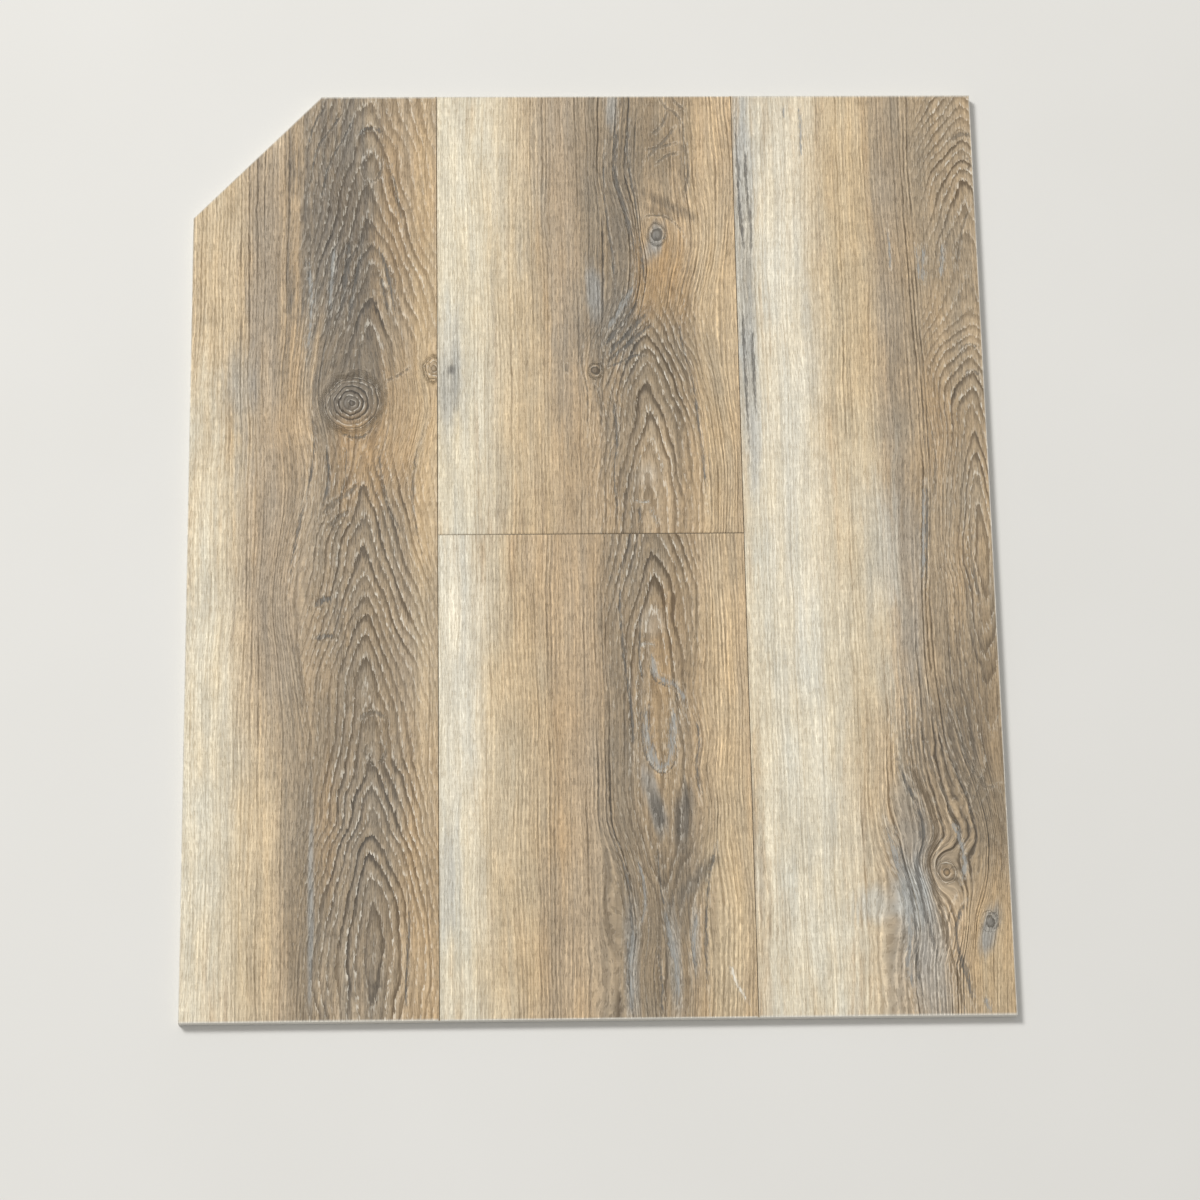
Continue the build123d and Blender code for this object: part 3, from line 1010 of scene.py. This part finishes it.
@dataclass(frozen=True)
class MattFloor(MottledFinish):
    """Pale matt paint on a smooth screed: an even, warm off-white floor."""

    name: str = "floor_matt_paint"
    colour: str = "#E4E2DD"
    second: str = "#DEDCD6"
    patches: Place = (6.0, 6.0, 6.0)
    detail: float = 4.0
    ior: float = 1.45
    roughness: float = 0.85


class Side(Enum):
    """The finishes of a plank, in the order of its material slots."""

    WEAR_FACE = 0
    CORE = 1
    BEVEL = 2
    BACKING = 3


@dataclass
class PlankFinishes:
    """The materials that all the planks share."""

    wear_face: EmbossedOakVinyl = EmbossedOakVinyl()
    core: FilledVinylCore = FilledVinylCore()
    bevel: PaintedBevel = PaintedBevel()
    backing: CalenderedBacking = CalenderedBacking()

    def materials(self) -> list[bpy.types.Material]:
        """Builds the materials in the order of the slots."""
        finishes = (self.wear_face, self.core, self.bevel, self.backing)
        return [finish.material() for finish in finishes]


@dataclass
class Plank:
    """One plank: the CAD plank with its face laid out as a fine embossed mesh."""

    node: str  # name of the CAD node that it stands for
    design: OakPrint  # the print on its face
    step_across: float = 0.78  # mesh size across the face, mm
    step_along: float = 1.5  # mesh size along the face, mm
    emboss: float = 0.14  # depth of the pressed ring lines, mm
    sawn_rim_highlight: str = "#D8D3C7"  # pale core colour painted on the face along the sawn edges, as a painted highlight of the lit cut edge

    FLAT = 0.99  # least upward slope of a face that counts as level
    NEAR = 1e-6  # distance at which two points are one, m
    BEVEL_HEIGHT = 0.5  # faces beside the wear face that are lower than this are bevels, mm
    RING_LEAD = 0.28  # how far the teeth of the printed ring lines bring them forward, rings

    def stripped_copy(self) -> bmesh.types.BMesh:
        """Copies the CAD plank and takes its wear face off.

        Returns:
            The open mesh.
        """
        mesh = bmesh.new()
        mesh.from_mesh(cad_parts[self.node].data)
        bmesh.ops.remove_doubles(mesh, verts=mesh.verts, dist=self.NEAR)
        mesh.normal_update()
        top = CAD_HIGH.z - self.NEAR
        face = [f for f in mesh.faces if f.normal.z > self.FLAT and all(v.co.z > top for v in f.verts)]
        bmesh.ops.delete(mesh, geom=face, context="FACES")
        return mesh

    def face_grid(self, rim: list[bmesh.types.BMEdge]) -> tuple[Array, Array]:
        """Lays the points of the fine face out between the rim's sides.

        Args:
            rim: Edges round the open face.

        Returns:
            Places across and along of the points, as two arrays of rows and columns, in metres.
        """
        corners = np.array([v.co[:2] for e in rim for v in e.verts])
        (x_low, y_low), (x_high, y_high) = corners.min(0), corners.max(0)
        sides = (sorted(tuple(v.co[:2]) for v in e.verts) for e in rim)
        slanted = ((a, b) for a, b in sides if abs(a[0] - b[0]) > MM and abs(a[1] - b[1]) > MM)
        (_, cut_y), (cut_x, _) = next(slanted, ((x_low, y_high), (x_low, y_high)))
        spans = [(x_low, cut_x), (cut_x, x_high)] if cut_x - x_low > MM else [(x_low, x_high)]
        across_step, along_step = self.step_across * MM, self.step_along * MM
        runs = [np.linspace(low, high, 1 + math.ceil((high - low) / across_step)) for low, high in spans]
        columns = np.unique(np.concatenate(runs))
        steps = np.linspace(0, 1, 1 + math.ceil((y_high - y_low) / along_step))
        top = np.interp(columns, [x_low, max(cut_x, x_low + self.NEAR)], [cut_y, y_high])
        return np.tile(columns, (len(steps), 1)), y_low + steps[:, None] * (top - y_low)[None, :]

    def split_rim(self, mesh: bmesh.types.BMesh, rim: list[bmesh.types.BMEdge], edge_points: Array) -> None:
        """Puts the grid's outer points on the rim, so that the face joins the sides point to point.

        Args:
            mesh: The open mesh; not used.
            rim: Edges round the open face.
            edge_points: Outer points of the grid, in metres.
        """
        slack = 10 * self.NEAR
        for edge in rim:
            start, end = edge.verts
            a, b = np.array(start.co[:2]), np.array(end.co[:2])
            length = np.linalg.norm(b - a)
            along = (edge_points - a) @ (b - a) / length
            off = np.abs((edge_points - a) @ np.array([a[1] - b[1], b[0] - a[0]]) / length)
            inside = (off < slack) & (along > slack) & (along < length - slack)
            done = 0.0
            for place in np.unique(np.round(along[inside], 8)):
                edge, start = bmesh.utils.edge_split(edge, start, (place - done) / (length - done))
                edge = next(e for e in start.link_edges if e.other_vert(start) is end)
                done = place

    def mesh(self) -> bpy.types.Mesh:
        """Builds the closed mesh of the plank with its fine face.

        Returns:
            The mesh, with flat sides and a smooth face.
        """
        mesh = self.stripped_copy()
        rim = [e for e in mesh.edges if len(e.link_faces) == 1]
        across, along = self.face_grid(rim)
        outer = np.concatenate([
            np.stack([across[i], along[i]], -1).reshape(-1, 2)
            for i in ((0, slice(None)), (-1, slice(None)), (slice(None), 0), (slice(None), -1))
        ])
        self.split_rim(mesh, rim, outer)
        corners = [[mesh.verts.new((x, y, CAD_HIGH.z)) for x, y in zip(*row)] for row in zip(across, along)]
        for low, high in zip(corners[:-1], corners[1:]):
            for a, b, c, d in zip(low[:-1], low[1:], high[1:], high[:-1]):
                mesh.faces.new((a, b, c, d)).smooth = True
        bmesh.ops.remove_doubles(mesh, verts=[v for v in mesh.verts if v.is_boundary], dist=5 * self.NEAR)
        mesh.normal_update()
        for face in mesh.faces:
            heights = [v.co.z for v in face.verts]
            if face.smooth:
                face.material_index = Side.WEAR_FACE.value
            elif max(heights) > CAD_HIGH.z - self.NEAR and CAD_HIGH.z - min(heights) < self.BEVEL_HEIGHT * MM:
                face.material_index = Side.BEVEL.value
            elif face.normal.z < -self.FLAT and max(heights) < self.NEAR:
                face.material_index = Side.BACKING.value
            else:
                face.material_index = Side.CORE.value
        open_edges = sum(1 for e in mesh.edges if len(e.link_faces) != 2)
        log.info("%s: %d faces, %d open edges", self.node, len(mesh.faces), open_edges)
        made = bpy.data.meshes.new(f"{self.node}_dressed")
        mesh.to_mesh(made)
        mesh.free()
        return made

    def vertex_sides(self, mesh: bpy.types.Mesh) -> dict[Side, Array]:
        """Finds which points of the mesh lie on which side of the plank.

        Args:
            mesh: The plank's mesh.

        Returns:
            For each side, whether each point is on it.
        """
        loops = np.zeros(len(mesh.loops), np.int64)
        totals, slots = (np.zeros(len(mesh.polygons), np.int64) for _ in range(2))
        mesh.loops.foreach_get("vertex_index", loops)
        mesh.polygons.foreach_get("loop_total", totals)
        mesh.polygons.foreach_get("material_index", slots)
        loop_slots = np.repeat(slots, totals)
        sides = {}
        for side in Side:
            sides[side] = np.zeros(len(mesh.vertices), bool)
            sides[side][loops[loop_slots == side.value]] = True
        return sides

    def emboss_face(self, mesh: bpy.types.Mesh) -> None:
        """Stores the print on the mesh and presses its ring lines into the face.

        Args:
            mesh: The plank's mesh, which is changed.
        """
        places = np.zeros(3 * len(mesh.vertices))
        mesh.vertices.foreach_get("co", places)
        places = places.reshape(-1, 3)
        x, y = (places[:, 0] - CAD_LOW.x) / MM, (places[:, 1] - CAD_LOW.y) / MM
        field = GrainField(self.design, x, y)
        rings, figure = field.rings(), field.figure()
        wood, line = field.colours()
        drawn, nearness = field.drawn()
        sides = self.vertex_sides(mesh)
        on_face, on_bevel = sides[Side.WEAR_FACE], sides[Side.BEVEL]
        on_rim = on_face & (sides[Side.CORE] | on_bevel)
        sawn_rim_highlight = on_rim & ~on_bevel

        # The face's row along the sawn edges is painted the pale core colour as a painted highlight of the
        # lit cut edge, and the straight lines are fainter in pale wood
        wood[sawn_rim_highlight] = line[sawn_rim_highlight] = linear(self.sawn_rim_highlight)[:3]
        nearness[sawn_rim_highlight] = 0
        grain = np.stack([field.fibre, y, rings], 1).astype(np.float32)
        mesh.attributes.new("grain", "FLOAT_VECTOR", "POINT").data.foreach_set("vector", grain.ravel())
        furrow = field.furrow() * (1 - 0.5 * smooth_step(0.35, 0.65, wood[:, 1]))
        layers = (("wood", wood, furrow), ("ring_line", line, figure), ("drawn", drawn, nearness))
        for name, colour, alpha in layers:
            values = np.column_stack([colour, alpha]).astype(np.float32)
            layer = mesh.color_attributes.new(name, "FLOAT_COLOR", "POINT")
            layer.data.foreach_set("color", values.ravel())
        ring_lines = figure * smooth_step(0.6, 0.94, np.mod(rings + self.RING_LEAD, 1))
        pressed = np.maximum(ring_lines, smooth_step(0.5, 0.9, nearness))
        places[:, 2] -= np.where(on_face & ~on_rim, self.emboss * MM * pressed, 0)
        mesh.vertices.foreach_set("co", places.ravel())
        mesh.update()

    def build(self, materials: list[bpy.types.Material]) -> bpy.types.Object:
        """Builds the dressed plank in place of its CAD node.

        Args:
            materials: The plank's materials, in the order of its slots.

        Returns:
            The dressed plank.
        """
        mesh = self.mesh()
        self.emboss_face(mesh)
        for material in materials:
            mesh.materials.append(material)
        piece = bpy.data.objects.new(f"{self.node}_dressed", mesh)
        bpy.context.scene.collection.objects.link(piece)
        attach(piece, "root")
        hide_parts(self.node)
        return piece


@dataclass
class Studio:
    """Floor, lamp and camera round the panel."""

    floor_size: float = 8.0  # side of the square floor, m
    floor_drop: float = 0.0002  # how far the floor lies under the panel, so that their faces don't meet, m
    key_place: Place = (-3.6, 3.4, 5.6)  # place of the large lamp at the upper left, m
    key_size: float = 2.2  # side of that lamp, m
    key_watts: float = 425.0  # its power, W
    world_strength: float = 0.46  # strength of the even light from all round
    eye: Place = (-0.0674, -0.7628, 2.1365)  # camera place from the middle of the wear face, m
    turns: Place = (18.722, -1.83, -0.396)  # camera turns about its own axes, degrees
    lens: float = 114.0  # focal length on a 36 mm sensor, mm

    def build(self) -> None:
        """Makes the floor, the lights and the camera."""
        scene = bpy.context.scene
        scene.view_settings.view_transform = "Standard"
        half = self.floor_size / 2
        corners = [(-half, -half, 0), (half, -half, 0), (half, half, 0), (-half, half, 0)]
        mesh = bpy.data.meshes.new("floor")
        mesh.from_pydata(corners, [], [(0, 1, 2, 3)])
        mesh.materials.append(MattFloor().material())
        floor = bpy.data.objects.new("floor", mesh)
        floor.location.z = CAD_LOW.z - self.floor_drop
        scene.collection.objects.link(floor)

        world = bpy.data.worlds.new("studio")
        world.use_nodes = True
        sky = {"Color": linear("#FFFFFF"), "Strength": self.world_strength}
        fill_inputs(world.node_tree, world.node_tree.nodes["Background"], sky)
        scene.world = world

        lamp = bpy.data.lights.new("key", "AREA")
        lamp.energy = self.key_watts
        lamp.size = self.key_size
        key = bpy.data.objects.new("key", lamp)
        key.location = self.key_place
        key.rotation_euler = (-Vector(self.key_place)).to_track_quat("-Z", "Y").to_euler()
        scene.collection.objects.link(key)

        lens = bpy.data.cameras.new("camera")
        lens.lens = self.lens
        camera = bpy.data.objects.new("camera", lens)
        middle = Vector(((CAD_LOW.x + CAD_HIGH.x) / 2, (CAD_LOW.y + CAD_HIGH.y) / 2, CAD_HIGH.z))
        camera.location = middle + Vector(self.eye)
        camera.rotation_mode = "ZYX"
        camera.rotation_euler = [math.radians(turn) for turn in self.turns]
        scene.collection.objects.link(camera)
        scene.camera = camera


def main() -> None:
    """Builds the planks and the studio, and reports each piece."""
    logging.basicConfig(level=logging.INFO, format="%(name)s: %(message)s")
    materials = PlankFinishes().materials()
    planks = [
        Plank("left_plank", LEFT_PRINT),
        Plank("upper_middle_plank", UPPER_MIDDLE_PRINT, step_along=1.1),
        Plank("lower_middle_plank", LOWER_MIDDLE_PRINT, step_along=1.1),
        Plank("right_plank", RIGHT_PRINT),
    ]
    for plank in planks:
        piece = plank.build(materials)
        log.info("%s stands for %s", piece.name, plank.node)
    Studio().build()


if __name__ == "__main__":
    main()
